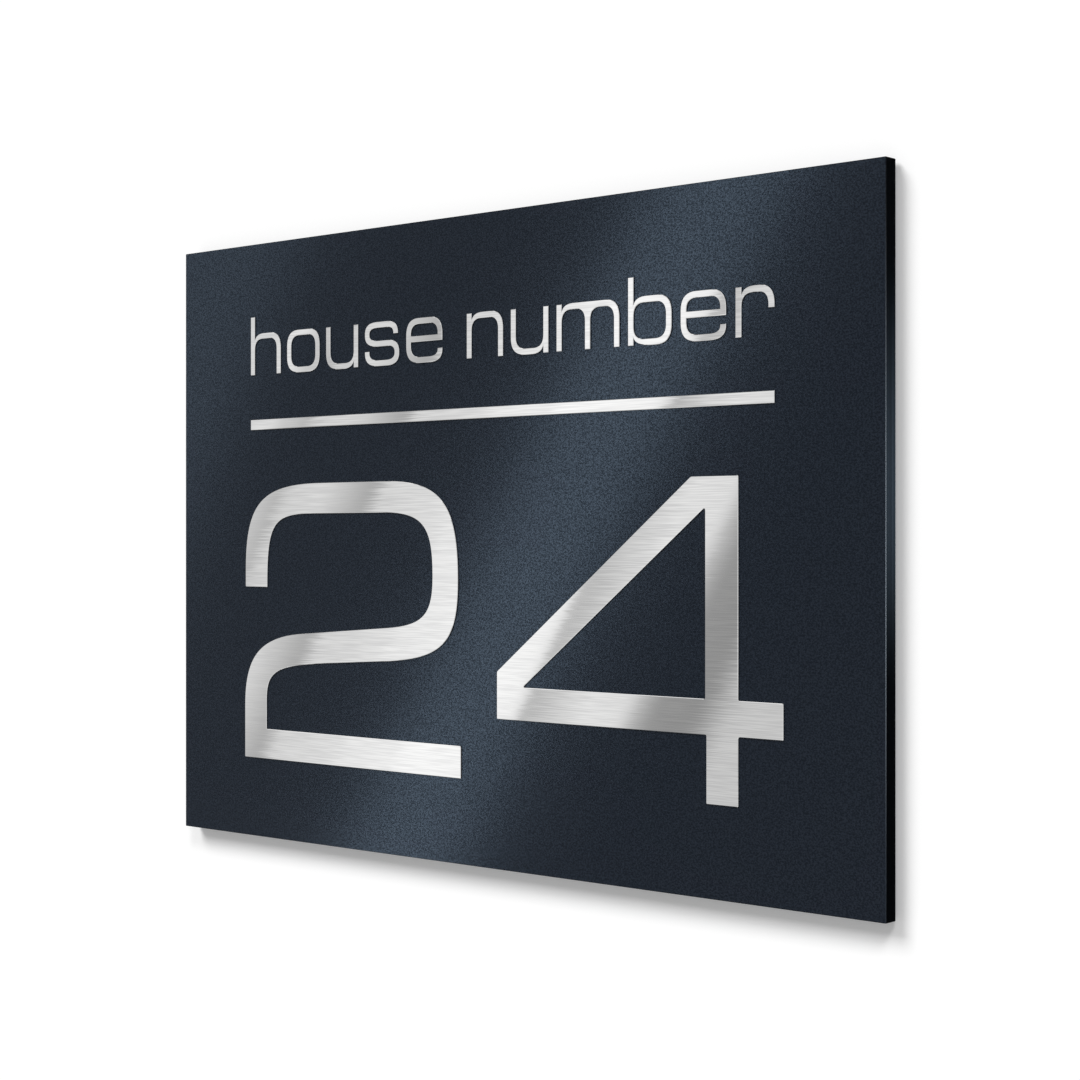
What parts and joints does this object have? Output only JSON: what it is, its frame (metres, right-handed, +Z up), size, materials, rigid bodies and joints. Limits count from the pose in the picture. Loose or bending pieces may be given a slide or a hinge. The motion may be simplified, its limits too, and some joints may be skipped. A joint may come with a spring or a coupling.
{
  "type": "house number plaque",
  "caption": "Flat rectangular wall plaque in textured anthracite with large brushed steel numerals, a thin rule and a line of plain lettering, held by foam mounting tape on its back.",
  "frame": {"origin": "centre of the plaque on the wall face, where the centre strip of mounting tape meets the wall", "axes": "+X to the right across the plate, +Y into the wall, +Z up; the numerals face -Y"},
  "size_m": [0.3, 0.0066, 0.21],
  "materials": {
    "anthracite_plate": "fine textured matt powder coat, blue-grey anthracite",
    "brushed_steel": "brushed along the plate's width, with bright cut edges",
    "foam_tape": "matt closed-cell acrylic foam"
  },
  "bodies": {
    "root": {"plate": "anthracite_plate", "numeral_2": "brushed_steel", "numeral_4": "brushed_steel", "rule": "brushed_steel", "letter_h": "brushed_steel", "letter_o": "brushed_steel", "letter_u_1": "brushed_steel", "letter_s": "brushed_steel", "letter_e_1": "brushed_steel", "letter_n": "brushed_steel", "letter_u_2": "brushed_steel", "letter_m": "brushed_steel", "letter_b": "brushed_steel", "letter_e_2": "brushed_steel", "letter_r": "brushed_steel", "tape_left": "foam_tape", "tape_centre": "foam_tape", "tape_right": "foam_tape"}
  },
  "joints": []
}
